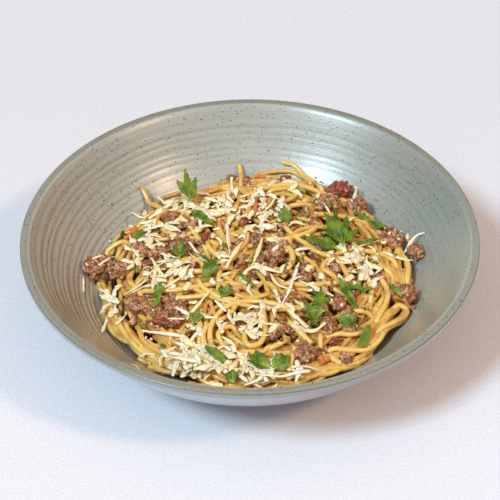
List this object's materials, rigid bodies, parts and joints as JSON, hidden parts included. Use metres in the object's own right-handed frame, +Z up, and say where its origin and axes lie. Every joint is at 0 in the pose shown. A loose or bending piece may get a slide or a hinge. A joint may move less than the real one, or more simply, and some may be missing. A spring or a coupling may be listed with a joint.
{
  "type": "spaghetti bolognese in a bowl",
  "caption": "Wide stoneware pasta bowl filled with a low heap of spaghetti, minced meat, tomato, grated cheese and chopped parsley.",
  "frame": {"origin": "middle of the foot ring's underside, where the bowl stands", "axes": "+Z up, through the bowl's axis; -Y towards the viewer of the picture, +X to the right"},
  "size_m": [0.25, 0.25, 0.06],
  "materials": {
    "glaze": "satin sage glaze with fine brown speckles",
    "pasta": "cooked pasta, oiled",
    "mince": "browned minced meat, moist",
    "tomato": "cooked tomato and carrot, wet",
    "parsley": "fresh leaf, satin",
    "cheese": "grated hard cheese, matte"
  },
  "bodies": {
    "root": {"bowl": "glaze", "spaghetti": "pasta", "mince_far_left": "mince", "mince_left_neck": "mince", "mince_back": "mince", "mince_back_right": "mince", "mince_right": "mince", "mince_right_tip": "mince", "mince_right_edge": "mince", "mince_front": "mince", "tomato_back": "tomato", "tomato_left": "tomato", "leaf_back_left": "parsley", "leaf_upper_left": "parsley", "leaf_left_small": "parsley", "leaf_left_point": "parsley", "leaf_centre_tall": "parsley", "leaf_centre_arm": "parsley", "leaf_left_long": "parsley", "leaf_centre_small": "parsley", "leaf_middle_point": "parsley", "leaf_back_small": "parsley", "leaf_big_left": "parsley", "leaf_big": "parsley", "leaf_thin": "parsley", "leaf_pair_left": "parsley", "leaf_pair_right": "parsley", "leaf_right_upper": "parsley", "leaf_right_lower": "parsley", "leaf_dark": "parsley", "leaf_strip": "parsley", "leaf_curved": "parsley", "leaf_front_strip": "parsley", "leaf_front_left": "parsley", "leaf_front_right": "parsley", "leaf_front_small": "parsley", "leaf_rim": "parsley", "stem_right": "parsley", "stem_centre": "parsley"}
  },
  "joints": []
}
